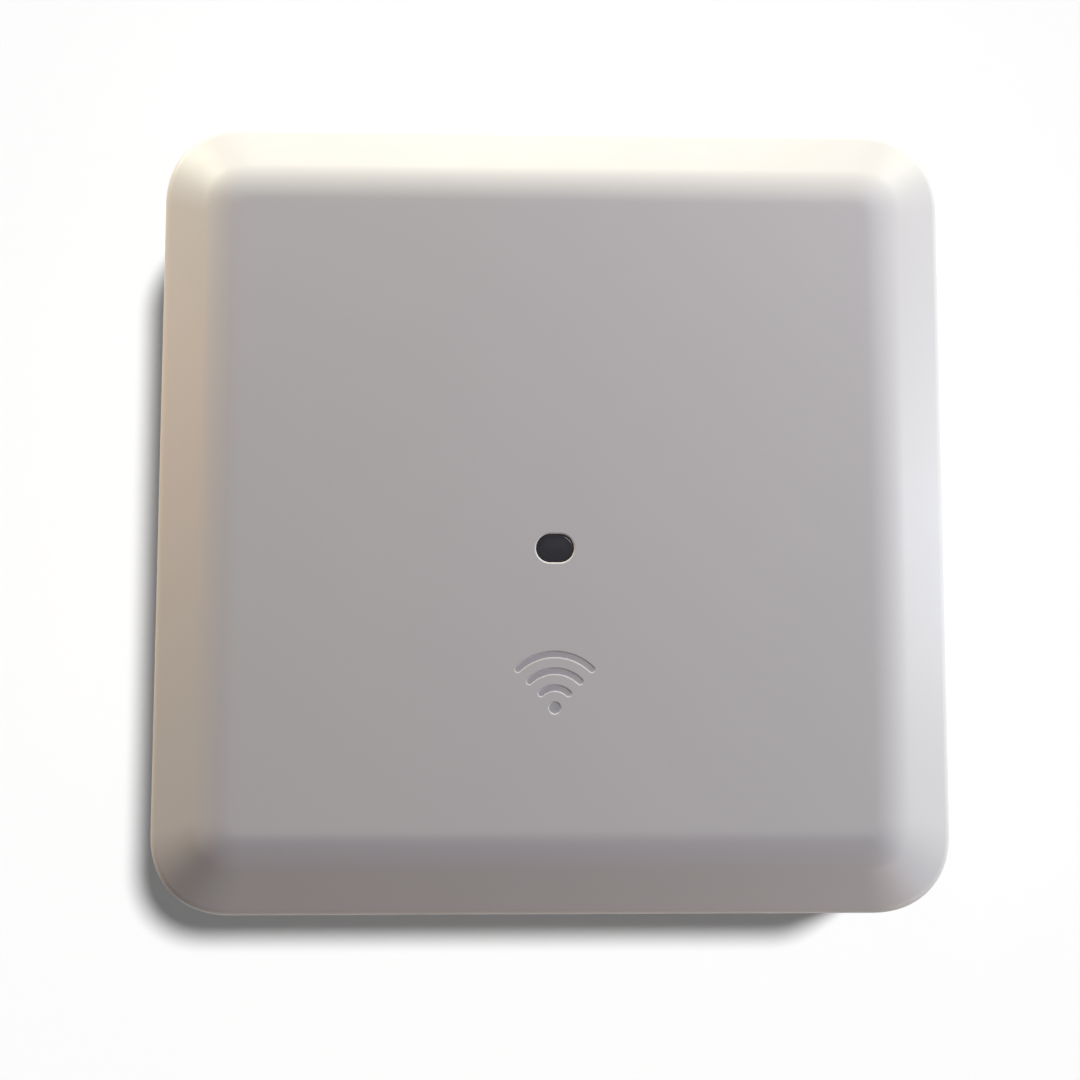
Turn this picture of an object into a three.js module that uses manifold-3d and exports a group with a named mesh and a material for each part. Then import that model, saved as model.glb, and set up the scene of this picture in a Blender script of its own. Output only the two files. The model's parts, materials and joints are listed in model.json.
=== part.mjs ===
// Ceiling access point: a flat, square wireless base station on its slide-on bracket.
//
// Frame: millimetres, +Z up and out of the cover's face, the ceiling side at z = 0, the origin under the
// middle. +Y is the side with the ports. The parts stack up from the ceiling as bracket, cast base, circuit
// board, antenna tray, antennas and plastic cover.
import * as THREE from "three";
import { mergeVertices } from "three/addons/utils/BufferGeometryUtils.js";
import Module from "manifold-3d";

const wasm = await Module();
wasm.setup();

// ---------------------------------------------------------------- driving dimensions
const WIDTH = 220; // across the cover's rim, in X and in Y
const HEIGHT = 62; // ceiling to cover face: 55 of access point over a low bracket
const HALF = WIDTH / 2;
const GAP = 0.3; // left between pieces that touch
const REST = 0.05; // left between flat faces that rest on each other
const PAST = 1; // how far a cutting tool reaches past the face that it cuts
const SCREW_HOLE = 1.9; // radius of every screw's clearance hole
const PILOT_HOLE = 1.7; // radius of every screw's blind hole

// Cover: flat face, round turn, slanted border, small turn, drafted skirt
const COVER = {
  wall: 2.5,
  rimZ: 31.5, // lower edge of the skirt
  rimRadius: 22, // plan corner radius at the rim
  radiusLoss: 0.76, // plan corner radius lost per millimetre of inset
  faceInset: 26, // rim to the start of the flat face
  faceRadius: 22,
  slope: THREE.MathUtils.degToRad(28),
  shoulderRadius: 4,
  draft: THREE.MathUtils.degToRad(8),
  cornerSteps: 6,
};

// Inside the cover: four screw bosses, and a ledge that presses the seal on the base's flange
const BOSS = { at: 94.2, radius: 4, pilotTopZ: 48 }; // at is the screws' X and Y
const LEDGE = { z: [38.5, 40.5], half: 107.2, radius: 19, innerHalf: 101.5, innerRadius: 15 };
const SEAL = { z: [36.2, 38.2], half: 105.5, radius: 17, innerHalf: 102, innerRadius: 13.5 };

// Status light window in the cover's face, held by a lip behind it
const LENS = {
  x: 0,
  y: -10,
  length: 10,
  width: 7.5,
  lip: 1.6,
  bottomZ: 58.2,
  clearance: 0.15,
  recess: 0.1,
};

// Cast base
const BASE = {
  bottomZ: 7,
  floor: 3,
  half: 98,
  radius: 24,
  wall: 2.5,
  flangeZ: 33,
  flangeTopZ: 36,
  flangeHalf: 106.3,
  flangeRadius: 18.5,
};
const FLOOR_TOP = BASE.bottomZ + BASE.floor;
const FIN = { depth: 3.5, thickness: 1.8, pitch: 9, count: 17, bottomZ: 9 };
const CAST = {
  boardPost: 3.5, // radii
  trayPost: 4,
  studBoss: 5,
  studBossTopZ: 17.5,
  studHoleTopZ: 16,
  boardPilotZ: 14, // bottoms of the blind holes
  trayPilotZ: 30,
};

// Port bay: a notch in the base's +Y side, open to the ceiling and to +Y
const BAY = { half: 60, backY: 76.5, roofZ: 28, wall: 2.5 };

// Circuit board, parts hang from its lower face
const BOARD = { half: 84, lowY: -88, highY: 73.5, bottomZ: 25, thickness: 1.6 };
const BOARD_TOP = BOARD.bottomZ + BOARD.thickness;
const BOARD_PARTS_TOP = BOARD.bottomZ - 0.1;
const BOARD_SCREWS = [
  [-78, -80],
  [78, -80],
  [-78, 62],
  [78, 62],
];

// Antenna tray on four tall posts
const TRAY = { half: 96, radius: 30, bottomZ: 41, thickness: 1.2, rim: 4 };
const TRAY_TOP = TRAY.bottomZ + TRAY.thickness;
const TRAY_SCREWS = [
  [-90, -50],
  [90, -50],
  [-90, 50],
  [90, 50],
];

// Bracket: a pressed steel hat section that the base's four studs slide into
const PLATE = { thickness: 1.5, bottomZ: 5, half: 60, halfLength: 68, footWidth: 16 };
const PLATE_TOP = PLATE.bottomZ + PLATE.thickness;
const STUD_AT = 42; // X and Y of the four studs
const STUD = {
  headRadius: 5,
  neckRadius: 2.5,
  shankRadius: 2.1,
  headZ: 2,
  neckZ: 4.4,
  topZ: 15.4,
  chamfer: 0.6,
};
const SLIDE_TRAVEL = 12;
const CEILING_SCREW = { x: 69, y: 44, radius: 2.6 };
const BOX_SLOT = { x: 41.65, width: 4.8, length: 14 }; // x is half of a single-gang box's 83.3 mm spacing
const CABLE_HOLE_RADIUS = 28;
const CABLE_SLOT_HALF = 14; // half the width of the slot that leads the cable from the hole to the port bay
const LOCK_EAR = { x: 50, halfWidth: 6, endY: -105, holeY: -101, holeRadius: 2.6, thickness: 3 };
const LOCK_SLOT = { y: [84, 91], z: [16, 19] }; // a cable lock's slot, 7 by 3 mm

// Detent leaf under the bracket's plate, and its pocket in the base's floor
const LEAF = {
  thickness: 0.8,
  halfWidth: 6,
  rootY: -65,
  tipY: -12,
  topZ: 4.6,
  rivetY: -61,
  rivetX: 3.2,
  holeRadius: 1.7,
  noseZ: 8.3, // the nose's crest, from crestY down the ramp to the tip
  crestY: [-26, -25],
  tipTopZ: 6,
};
const POCKET = { backY: -29, deepY: -24, endY: -13, depth: 2, halfWidth: 9 };
const POCKET_PAD = { half: 12, y: [-33, -10], height: 1.5 }; // thickens the floor over the pocket
const RIVET = { headRadius: 2.6, bottomZ: 2.6, headTopZ: 3.2, radius: 1.2, tailRadius: 2, tail: 0.4 };

// Port jacks, all with their mouths at the same plane
const JACK_FRONT_Y = BAY.backY + 0.5;
const RJ45 = {
  width: 16,
  height: 13.4,
  depth: 16,
  roof: 2.4, // above the socket
  socket: 11.9,
  socketHeight: 7.4,
  socketDepth: 12.5,
  latch: 6.2, // the notch for the plug's latch
  latchHeight: 1.6,
};
const USB = {
  width: 14.4,
  height: 7.2,
  depth: 14,
  shell: 0.9,
  back: 3,
  tongue: 10.8,
  tongueBelow: [1.6, 3.4], // the tongue's faces, measured down from the top
};
const DC = { width: 9, height: 11, depth: 13, back: 3, socketRadius: 3.2, pinRadius: 1 };
const PORT_X = { dc: -49, poe: -30, aux: -10, console: 10, usb: 30, mode: 47 };
const JACK_CLEARANCE = 0.4; // round each jack in the bay's wall

// Mode button: its flange rests behind the bay's wall, and its end presses the switch's plunger
const MODE = { z: 18, radius: 2, flangeRadius: 3, flange: 1.2, proud: 1, innerY: 68.7 };
const SWITCH = { half: 3.5, backY: 61, frontY: 66.4, plungerY: 67.6, plungerRadius: 1.6 };

// Light pipe on the tray, over the lamp: radii, then heights
const PIPE = {
  foot: 2.6,
  waist: 2.2,
  collar: 5.6,
  crown: 3.2,
  bottomZ: BOARD_TOP + 1.6,
  collarTopZ: TRAY_TOP + 1.6,
};

// The big parts on the board's lower face
const TRANSFORMER = { x: -60, y: 34, core: [9, 5, 12], winding: [6.5, 9, 13.5] }; // half X, half Y, bottom
const CAPACITOR = { x: 60, y: 34, radius: 5, bottomZ: 12.5, groove: 0.4 };

// Places where the shields press on the base through their pads: [x, y, width, depth]
const HOT_SPOTS = {
  processor: [0, 24, 44, 40],
  radio_left: [-52, -30, 46, 40],
  radio_right: [52, -30, 46, 40],
};
const PEDESTAL_TOP = 19.9;
const SHIELD = { bottomZ: 21.2, sheet: 0.4, pedestalInset: 3, padInset: 5 };

// Stamped antennas on the tray. Wide ones serve both bands.
const SHEET = 0.6;
const FOOT = 4; // length of an antenna's feet
const TUNING_SLOT = 2; // width of the slot that tunes an antenna
const DUAL_BAND = { length: 36, width: 14, height: 9, gap: 12, at: 58 };
const HIGH_BAND = { length: 20, width: 10, height: 7, gap: 7, at: 70 };

// Coaxial leads: where each leaves its antenna, passes the tray and plugs into the board.
// Both kinds repeat at every quarter turn.
const LEAD = {
  radius: 0.7,
  plugRadius: 1.6,
  holeRadius: 4.2,
  runZ: TRAY_TOP + 1.2,
  plugTopZ: BOARD_TOP + 1.7,
  slackZ: 34,
};
const LEAD_ROUTES = [
  { feed: [46, 43], hole: [38, 32], plug: [30, 18] },
  { feed: [14.8, 70], hole: [18, 56], plug: [12, 44] },
];

// Fasteners: a screw's radii, head height and length
const SMALL_SCREW = { headRadius: 3, headHeight: 2, shankRadius: 1.4, length: 9 };
const COVER_SCREW = { headRadius: 3.1, headHeight: 1.9, shankRadius: 1.4, length: 12 };
const LABEL = { x: [-66, 20], y: [-94, -72], radius: 2, thickness: 0.25 };

// ---------------------------------------------------------------- solids
function solidOf(geometry) {
  const bare = new THREE.BufferGeometry();
  bare.setAttribute("position", geometry.getAttribute("position"));
  if (geometry.index) bare.setIndex(geometry.index);
  const merged = mergeVertices(bare, 1e-4);
  return new wasm.Manifold(
    new wasm.Mesh({
      numProp: 3,
      vertProperties: new Float32Array(merged.attributes.position.array),
      triVerts: new Uint32Array(merged.index.array),
    }),
  );
}

function geometryOf(solid) {
  const mesh = solid.getMesh();
  const positions = new Float32Array(mesh.numVert * 3);
  for (let i = 0; i < mesh.numVert; i++) {
    const at = i * mesh.numProp;
    positions.set(mesh.vertProperties.subarray(at, at + 3), i * 3);
  }
  const geometry = new THREE.BufferGeometry();
  geometry.setAttribute("position", new THREE.BufferAttribute(positions, 3));
  geometry.setIndex(new THREE.BufferAttribute(new Uint32Array(mesh.triVerts), 1));
  const faceted = geometry.toNonIndexed();
  faceted.computeVertexNormals();
  return faceted;
}

const joined = (...solids) => solids.reduce((a, b) => a.add(b));
const cut = (solid, ...tools) => tools.reduce((a, b) => a.subtract(b), solid);

function box(x, y, z) {
  const geometry = new THREE.BoxGeometry(x[1] - x[0], y[1] - y[0], z[1] - z[0]);
  geometry.translate((x[0] + x[1]) / 2, (y[0] + y[1]) / 2, (z[0] + z[1]) / 2);
  return solidOf(geometry);
}

function prism(shape, z0, z1, curveSegments = 6) {
  const geometry = new THREE.ExtrudeGeometry(shape, {
    depth: z1 - z0,
    bevelEnabled: false,
    curveSegments,
  });
  geometry.translate(0, 0, z0);
  return solidOf(geometry);
}

// A prism along X of an outline given in (y, z).
function prismAlongX(shape, x0, x1) {
  const geometry = new THREE.ExtrudeGeometry(shape, { depth: x1 - x0, bevelEnabled: false });
  geometry.applyMatrix4(
    new THREE.Matrix4().makeBasis(
      new THREE.Vector3(0, 1, 0),
      new THREE.Vector3(0, 0, 1),
      new THREE.Vector3(1, 0, 0),
    ),
  );
  geometry.translate(x0, 0, 0);
  return solidOf(geometry);
}

// A prism along Y of an outline given in (x, z).
function prismAlongY(shape, y0, y1) {
  const geometry = new THREE.ExtrudeGeometry(shape, { depth: y1 - y0, bevelEnabled: false });
  geometry.rotateX(Math.PI / 2);
  geometry.translate(0, y1, 0);
  return solidOf(geometry);
}

function rod(x, y, z0, z1, radius, sides = 16) {
  const geometry = new THREE.CylinderGeometry(radius, radius, z1 - z0, sides);
  geometry.rotateX(Math.PI / 2);
  geometry.translate(x, y, (z0 + z1) / 2);
  return solidOf(geometry);
}

function rodAlongY(x, z, y0, y1, radius, sides = 16) {
  const geometry = new THREE.CylinderGeometry(radius, radius, y1 - y0, sides);
  geometry.translate(x, (y0 + y1) / 2, z);
  return solidOf(geometry);
}

// A body turned about Z, from its outline as [radius, z] pairs going up from the axis back to the axis.
function turned(outline, sides = 10) {
  const points = outline.map(([radius, z]) => new THREE.Vector2(radius, z));
  const geometry = new THREE.LatheGeometry(points, sides);
  geometry.rotateX(Math.PI / 2);
  return solidOf(geometry);
}

// ---------------------------------------------------------------- outlines
function roundedRectangle(x0, x1, y0, y1, r) {
  const shape = new THREE.Shape();
  shape.moveTo(x1, y0 + r);
  shape.lineTo(x1, y1 - r);
  shape.absarc(x1 - r, y1 - r, r, 0, Math.PI / 2);
  shape.lineTo(x0 + r, y1);
  shape.absarc(x0 + r, y1 - r, r, Math.PI / 2, Math.PI);
  shape.lineTo(x0, y0 + r);
  shape.absarc(x0 + r, y0 + r, r, Math.PI, 1.5 * Math.PI);
  shape.lineTo(x1 - r, y0);
  shape.absarc(x1 - r, y0 + r, r, 1.5 * Math.PI, 2 * Math.PI);
  return shape;
}

const roundedSquare = (half, r) => roundedRectangle(-half, half, -half, half, r);

function stadium(x, y, length, width) {
  const radius = Math.min(length, width) / 2 - 0.01;
  return roundedRectangle(x - length / 2, x + length / 2, y - width / 2, y + width / 2, radius);
}

function polygon(points) {
  return new THREE.Shape(points.map(([x, y]) => new THREE.Vector2(x, y)));
}

// ---------------------------------------------------------------- cover
// The cover's side in section, from the rim up to the face, as {inset, z}. Depth shrinks it by that much
// along its own normals, which gives the inside of the wall.
function coverSection(depth) {
  const { faceInset, faceRadius, slope, shoulderRadius, draft, rimZ } = COVER;
  const onArc = (centre, radius, angle) => ({
    inset: centre.inset - (radius - depth) * Math.sin(angle),
    z: centre.z + (radius - depth) * Math.cos(angle),
  });
  const faceCentre = { inset: faceInset, z: HEIGHT - faceRadius };
  // The shoulder's centre lies shoulderRadius inside both the slanted border and the skirt.
  const a1 = -Math.sin(slope);
  const b1 = Math.cos(slope);
  const c1 = a1 * faceCentre.inset + b1 * faceCentre.z + faceRadius - shoulderRadius;
  const a2 = -Math.cos(draft);
  const b2 = Math.sin(draft);
  const c2 = b2 * rimZ - shoulderRadius;
  const determinant = a1 * b2 - a2 * b1;
  const shoulderCentre = {
    inset: (c1 * b2 - c2 * b1) / determinant,
    z: (a1 * c2 - a2 * c1) / determinant,
  };
  const section = [];
  const endZ = depth > 0 ? rimZ - PAST : rimZ;
  section.push({ inset: (endZ - rimZ) * Math.tan(draft) + depth / Math.cos(draft), z: endZ });
  const shoulderSteps = 3;
  for (let i = 0; i <= shoulderSteps; i++) {
    const angle = Math.PI / 2 - draft - (i / shoulderSteps) * (Math.PI / 2 - draft - slope);
    section.push(onArc(shoulderCentre, shoulderRadius, angle));
  }
  const faceSteps = 4;
  for (let i = 0; i <= faceSteps; i++) {
    section.push(onArc(faceCentre, faceRadius, slope * (1 - i / faceSteps)));
  }
  return section;
}

// The closed solid through a stack of rounded squares, one for each point of a section.
function loftedSquares(section) {
  const quadrants = [
    [1, 1],
    [-1, 1],
    [-1, -1],
    [1, -1],
  ];
  const rings = section.map(({ inset, z }) => {
    const radius = COVER.rimRadius - COVER.radiusLoss * inset;
    const centre = HALF - inset - radius;
    const ring = [];
    quadrants.forEach(([sx, sy], corner) => {
      for (let i = 0; i <= COVER.cornerSteps; i++) {
        const angle = (corner + i / COVER.cornerSteps) * (Math.PI / 2);
        const x = sx * centre + radius * Math.cos(angle);
        const y = sy * centre + radius * Math.sin(angle);
        ring.push(new THREE.Vector3(x, y, z));
      }
    });
    return ring;
  });
  const count = rings[0].length;
  const index = [];
  for (let k = 0; k + 1 < rings.length; k++) {
    for (let i = 0; i < count; i++) {
      const a = k * count + i;
      const b = k * count + ((i + 1) % count);
      index.push(a, b, b + count, a, b + count, a + count);
    }
  }
  const last = (rings.length - 1) * count;
  for (let i = 1; i + 1 < count; i++) {
    index.push(0, i + 1, i);
    index.push(last, last + i, last + i + 1);
  }
  const geometry = new THREE.BufferGeometry().setFromPoints(rings.flat());
  geometry.setIndex(index);
  return solidOf(geometry);
}

const fourCorners = (at) => [
  [-at, -at],
  [at, -at],
  [-at, at],
  [at, at],
];

// A flat square ring with rounded corners.
function squareRing({ z, half, radius, innerHalf, innerRadius }) {
  return cut(
    prism(roundedSquare(half, radius), ...z),
    prism(roundedSquare(innerHalf, innerRadius), z[0] - PAST, z[1] + PAST),
  );
}

// The window's pill shape, larger all round by grow.
function pill(grow, z0, z1) {
  const outline = stadium(LENS.x, LENS.y, LENS.length + 2 * grow, LENS.width + 2 * grow);
  return prism(outline, z0, z1, 8);
}

function coverSolid() {
  const outside = loftedSquares(coverSection(0));
  const inside = loftedSquares(coverSection(COVER.wall));
  const bossZ = BASE.flangeTopZ + GAP;
  const bosses = fourCorners(BOSS.at).map(([x, y]) =>
    rod(x, y, bossZ, HEIGHT, BOSS.radius, 16).intersect(outside),
  );
  const pilots = fourCorners(BOSS.at).map(([x, y]) =>
    rod(x, y, bossZ - PAST, BOSS.pilotTopZ, PILOT_HOLE, 12),
  );
  const window = pill(0, LENS.bottomZ, HEIGHT + PAST);
  return cut(joined(cut(outside, inside), squareRing(LEDGE), ...bosses), window, ...pilots);
}

function lensSolid() {
  const lipTop = HEIGHT - COVER.wall - LENS.clearance;
  return joined(
    pill(-LENS.clearance, LENS.bottomZ, HEIGHT - LENS.recess),
    pill(LENS.lip, LENS.bottomZ, lipTop),
  );
}

// The light pipe carries the lamp's light from the board up to the window.
function lightPipeSolid() {
  const { foot, waist, collar, crown, bottomZ, collarTopZ } = PIPE;
  const topZ = LENS.bottomZ - GAP;
  return turned([
    [0, bottomZ],
    [foot, bottomZ],
    [waist, TRAY_TOP + GAP],
    [collar, TRAY_TOP + GAP],
    [collar, collarTopZ],
    [waist, collarTopZ],
    [crown, topZ],
    [0, topZ],
  ]);
}

// ---------------------------------------------------------------- base casting
function finSolids() {
  const z = [FIN.bottomZ, BASE.flangeZ + PAST];
  const across = [BASE.half - PAST, BASE.half + FIN.depth];
  const fins = [];
  for (let i = 0; i < FIN.count; i++) {
    const at = (i - (FIN.count - 1) / 2) * FIN.pitch;
    const along = [at - FIN.thickness / 2, at + FIN.thickness / 2];
    const back = [-across[1], -across[0]];
    fins.push(box(across, along, z), box(back, along, z));
  }
  return fins;
}

// The ramped pocket that the detent leaf's nose sits in.
function pocketSolid() {
  const { backY, deepY, endY, depth, halfWidth } = POCKET;
  const bottom = BASE.bottomZ;
  const section = polygon([
    [backY, bottom - PAST],
    [endY, bottom - PAST],
    [endY, bottom],
    [deepY, bottom + depth],
    [backY, bottom + depth],
  ]);
  return prismAlongX(section, -halfWidth, halfWidth);
}

// A cut right through the bay's back wall.
const BAY_WALL_Y = [BAY.backY - BAY.wall - PAST, BAY.backY + PAST];

function jackCutout(x, width, height) {
  const clear = JACK_CLEARANCE;
  return box(
    [x - width / 2 - clear, x + width / 2 + clear],
    BAY_WALL_Y,
    [BOARD_PARTS_TOP - height - clear, BOARD_PARTS_TOP + clear],
  );
}

// A block over a hot spot, smaller than its shield all round by inset.
function hotSpotBlock([x, y, width, depth], inset, z) {
  const w = width / 2 - inset;
  const d = depth / 2 - inset;
  return box([x - w, x + w], [y - d, y + d], z);
}

function baseSolid() {
  const outside = joined(
    prism(roundedSquare(BASE.half, BASE.radius), BASE.bottomZ, BASE.flangeTopZ, 8),
    prism(roundedSquare(BASE.flangeHalf, BASE.flangeRadius), BASE.flangeZ, BASE.flangeTopZ, 8),
    ...finSolids(),
  );
  const inside = prism(
    roundedSquare(BASE.half - BASE.wall, BASE.radius - BASE.wall),
    FLOOR_TOP,
    BASE.flangeTopZ + PAST,
    8,
  );
  const bayShell = box(
    [-BAY.half - BAY.wall, BAY.half + BAY.wall],
    [BAY.backY - BAY.wall, BASE.half - PAST],
    [BASE.bottomZ, BAY.roofZ + BAY.wall],
  );
  const bay = box([-BAY.half, BAY.half], [BAY.backY, HALF], [0, BAY.roofZ]);
  const rootZ = FLOOR_TOP - PAST;
  const boardPosts = BOARD_SCREWS.map(([x, y]) =>
    rod(x, y, rootZ, BOARD.bottomZ - REST, CAST.boardPost, 12),
  );
  const trayPosts = TRAY_SCREWS.map(([x, y]) =>
    rod(x, y, rootZ, TRAY.bottomZ - REST, CAST.trayPost, 12),
  );
  const studBosses = fourCorners(STUD_AT).map(([x, y]) =>
    rod(x, y, rootZ, CAST.studBossTopZ, CAST.studBoss, 16),
  );
  const pedestals = Object.values(HOT_SPOTS).map((spot) =>
    hotSpotBlock(spot, SHIELD.pedestalInset, [rootZ, PEDESTAL_TOP]),
  );
  const pocketPad = box(
    [-POCKET_PAD.half, POCKET_PAD.half],
    POCKET_PAD.y,
    [rootZ, FLOOR_TOP + POCKET_PAD.height],
  );
  const lockLug = box(
    [LOCK_EAR.x - LOCK_EAR.halfWidth, LOCK_EAR.x + LOCK_EAR.halfWidth],
    [LOCK_EAR.endY, -BASE.half + PAST],
    [BASE.bottomZ, BASE.bottomZ + LOCK_EAR.thickness],
  );
  const solid = joined(
    cut(outside, inside),
    bayShell,
    ...boardPosts,
    ...trayPosts,
    ...studBosses,
    ...pedestals,
    pocketPad,
    lockLug,
  );
  const boardPilots = BOARD_SCREWS.map(([x, y]) =>
    rod(x, y, CAST.boardPilotZ, BOARD.bottomZ, PILOT_HOLE, 8),
  );
  const trayPilots = TRAY_SCREWS.map(([x, y]) =>
    rod(x, y, CAST.trayPilotZ, TRAY.bottomZ, PILOT_HOLE, 8),
  );
  const studHoles = fourCorners(STUD_AT).map(([x, y]) =>
    rod(x, y, BASE.bottomZ - PAST, CAST.studHoleTopZ, STUD.shankRadius + GAP, 12),
  );
  const coverHoles = fourCorners(BOSS.at).map(([x, y]) =>
    rod(x, y, BASE.flangeZ - PAST, BASE.flangeTopZ + PAST, SCREW_HOLE, 12),
  );
  const cutouts = [
    jackCutout(PORT_X.dc, DC.width, DC.height),
    jackCutout(PORT_X.poe, RJ45.width, RJ45.height),
    jackCutout(PORT_X.aux, RJ45.width, RJ45.height),
    jackCutout(PORT_X.console, RJ45.width, RJ45.height),
    jackCutout(PORT_X.usb, USB.width, USB.height),
    rodAlongY(PORT_X.mode, MODE.z, ...BAY_WALL_Y, MODE.radius + GAP),
  ];
  const bayEnd = [BAY.half - PAST, BAY.half + BAY.wall + PAST];
  const lockSlot = box(bayEnd, LOCK_SLOT.y, LOCK_SLOT.z);
  const lockHole = rod(
    LOCK_EAR.x,
    LOCK_EAR.holeY,
    BASE.bottomZ - PAST,
    BASE.bottomZ + LOCK_EAR.thickness + PAST,
    LOCK_EAR.holeRadius,
  );
  return cut(
    solid,
    bay,
    ...boardPilots,
    ...trayPilots,
    ...studHoles,
    ...coverHoles,
    ...cutouts,
    lockSlot,
    lockHole,
    pocketSolid(),
  );
}

// ---------------------------------------------------------------- circuit board and what hangs from it
function boardSolid() {
  const outline = roundedRectangle(-BOARD.half, BOARD.half, BOARD.lowY, BOARD.highY, 6);
  const holes = BOARD_SCREWS.map(([x, y]) =>
    rod(x, y, BOARD.bottomZ - PAST, BOARD_TOP + PAST, SCREW_HOLE, 12),
  );
  return cut(prism(outline, BOARD.bottomZ, BOARD_TOP, 4), ...holes);
}

function statusLampSolid() {
  const { x, y } = LENS;
  return joined(
    box([x - 1.6, x + 1.6], [y - 1.4, y + 1.4], [BOARD_TOP + 0.1, BOARD_TOP + 0.8]),
    rod(x, y, BOARD_TOP + 0.7, BOARD_TOP + 1.3, 1.1, 12),
  );
}

// A pressed shield can: a shallow box, open towards the board.
function shieldSolid(spot) {
  const { bottomZ, sheet } = SHIELD;
  return cut(
    hotSpotBlock(spot, 0, [bottomZ, BOARD_PARTS_TOP]),
    hotSpotBlock(spot, sheet, [bottomZ + sheet, BOARD_PARTS_TOP + PAST]),
  );
}

function thermalPadSolid(spot) {
  return hotSpotBlock(spot, SHIELD.padInset, [PEDESTAL_TOP + REST, SHIELD.bottomZ - REST]);
}

// A modular jack: a block with an eight-wire socket and the notch for the plug's latch.
function modularJackSolid(x) {
  const socketTop = BOARD_PARTS_TOP - RJ45.roof;
  const socketBottom = socketTop - RJ45.socketHeight;
  const socketY = [JACK_FRONT_Y - RJ45.socketDepth, JACK_FRONT_Y + PAST];
  const across = (width) => [x - width / 2, x + width / 2];
  return cut(
    box(
      across(RJ45.width),
      [JACK_FRONT_Y - RJ45.depth, JACK_FRONT_Y],
      [BOARD_PARTS_TOP - RJ45.height, BOARD_PARTS_TOP],
    ),
    box(across(RJ45.socket), socketY, [socketBottom, socketTop]),
    box(across(RJ45.latch), socketY, [socketBottom - RJ45.latchHeight, socketTop]),
  );
}

function usbSocketSolid() {
  const top = BOARD_PARTS_TOP;
  const { width, height, depth, shell, back, tongue, tongueBelow } = USB;
  const backY = JACK_FRONT_Y - depth;
  const across = (span) => [PORT_X.usb - span / 2, PORT_X.usb + span / 2];
  return joined(
    cut(
      box(across(width), [backY, JACK_FRONT_Y], [top - height, top]),
      box(
        across(width - 2 * shell),
        [backY + back, JACK_FRONT_Y + PAST],
        [top - height + shell, top - shell],
      ),
    ),
    box(
      across(tongue),
      [backY + back - PAST, JACK_FRONT_Y - PAST],
      [top - tongueBelow[1], top - tongueBelow[0]],
    ),
  );
}

function dcSocketSolid() {
  const x = PORT_X.dc;
  const top = BOARD_PARTS_TOP;
  const z = top - DC.height / 2;
  const backY = JACK_FRONT_Y - DC.depth;
  return joined(
    cut(
      box([x - DC.width / 2, x + DC.width / 2], [backY, JACK_FRONT_Y], [top - DC.height, top]),
      rodAlongY(x, z, backY + DC.back, JACK_FRONT_Y + PAST, DC.socketRadius),
    ),
    rodAlongY(x, z, backY + DC.back - PAST, JACK_FRONT_Y - PAST, DC.pinRadius, 10),
  );
}

function modeSwitchSolid() {
  const { half, backY, frontY, plungerY, plungerRadius } = SWITCH;
  const x = PORT_X.mode;
  return joined(
    box([x - half, x + half], [backY, frontY], [MODE.z - half, BOARD_PARTS_TOP]),
    rodAlongY(x, MODE.z, frontY - GAP, plungerY, plungerRadius, 12),
  );
}

function modeButtonSolid() {
  const x = PORT_X.mode;
  const flangeY = BAY.backY - BAY.wall - GAP;
  return joined(
    rodAlongY(x, MODE.z, MODE.innerY, BAY.backY + MODE.proud, MODE.radius),
    rodAlongY(x, MODE.z, flangeY - MODE.flange, flangeY, MODE.flangeRadius),
  );
}

// The power-over-Ethernet transformer: a ferrite core around a wound bobbin.
function transformerSolid() {
  const { x, y, core, winding } = TRANSFORMER;
  const block = ([w, d, bottom], below) =>
    box([x - w, x + w], [y - d, y + d], [bottom, BOARD_PARTS_TOP - below]);
  return joined(block(core, 0), block(winding, 1.5));
}

// A can with a rounded end, grooved near the board.
function capacitorSolid() {
  const { radius, bottomZ, groove } = CAPACITOR;
  const top = BOARD_PARTS_TOP;
  const chamfer = 0.6;
  return turned([
    [0, bottomZ],
    [radius - chamfer, bottomZ],
    [radius, bottomZ + chamfer],
    [radius, top - 2],
    [radius - groove, top - 1.5],
    [radius, top - 1],
    [radius, top],
    [0, top],
  ]);
}

// ---------------------------------------------------------------- antennas
const dualBandPlaces = fourCorners(DUAL_BAND.at).map(([x, y]) => ({ x, y, turn: x * y > 0 ? -45 : 45 }));
const highBandPlaces = [90, 0, 270, 180].map((around) => {
  const angle = THREE.MathUtils.degToRad(around);
  return {
    x: HIGH_BAND.at * Math.cos(angle),
    y: HIGH_BAND.at * Math.sin(angle),
    turn: around - 90,
  };
});

// A stamped antenna: a plate on two bent legs with feet, and an open slot that tunes it.
function antennaSolid({ length, width, height, gap }) {
  const half = length / 2;
  const bridge = polygon([
    [-half - FOOT, 0],
    [-half + SHEET, 0],
    [-half + SHEET, height - SHEET],
    [half - SHEET, height - SHEET],
    [half - SHEET, 0],
    [half + FOOT, 0],
    [half + FOOT, SHEET],
    [half, SHEET],
    [half, height],
    [-half, height],
    [-half, SHEET],
    [-half - FOOT, SHEET],
  ]);
  const z = [height - SHEET - PAST, height + PAST];
  const slot = box([-gap, gap], [0, TUNING_SLOT], z);
  const mouth = box([gap - TUNING_SLOT, gap], [-width, TUNING_SLOT], z);
  return cut(prismAlongY(bridge, -width / 2, width / 2), slot, mouth);
}

// ---------------------------------------------------------------- coaxial leads
const turnedBy = ([x, y], turn) => {
  const spot = new THREE.Vector2(x, y).rotateAround(new THREE.Vector2(), THREE.MathUtils.degToRad(turn));
  return [spot.x, spot.y];
};
const leads = [0, 90, 180, 270].flatMap((turn) =>
  LEAD_ROUTES.map(({ feed, hole, plug }) => ({
    feed: turnedBy(feed, turn),
    hole: turnedBy(hole, turn),
    plug: turnedBy(plug, turn),
  })),
);

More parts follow.
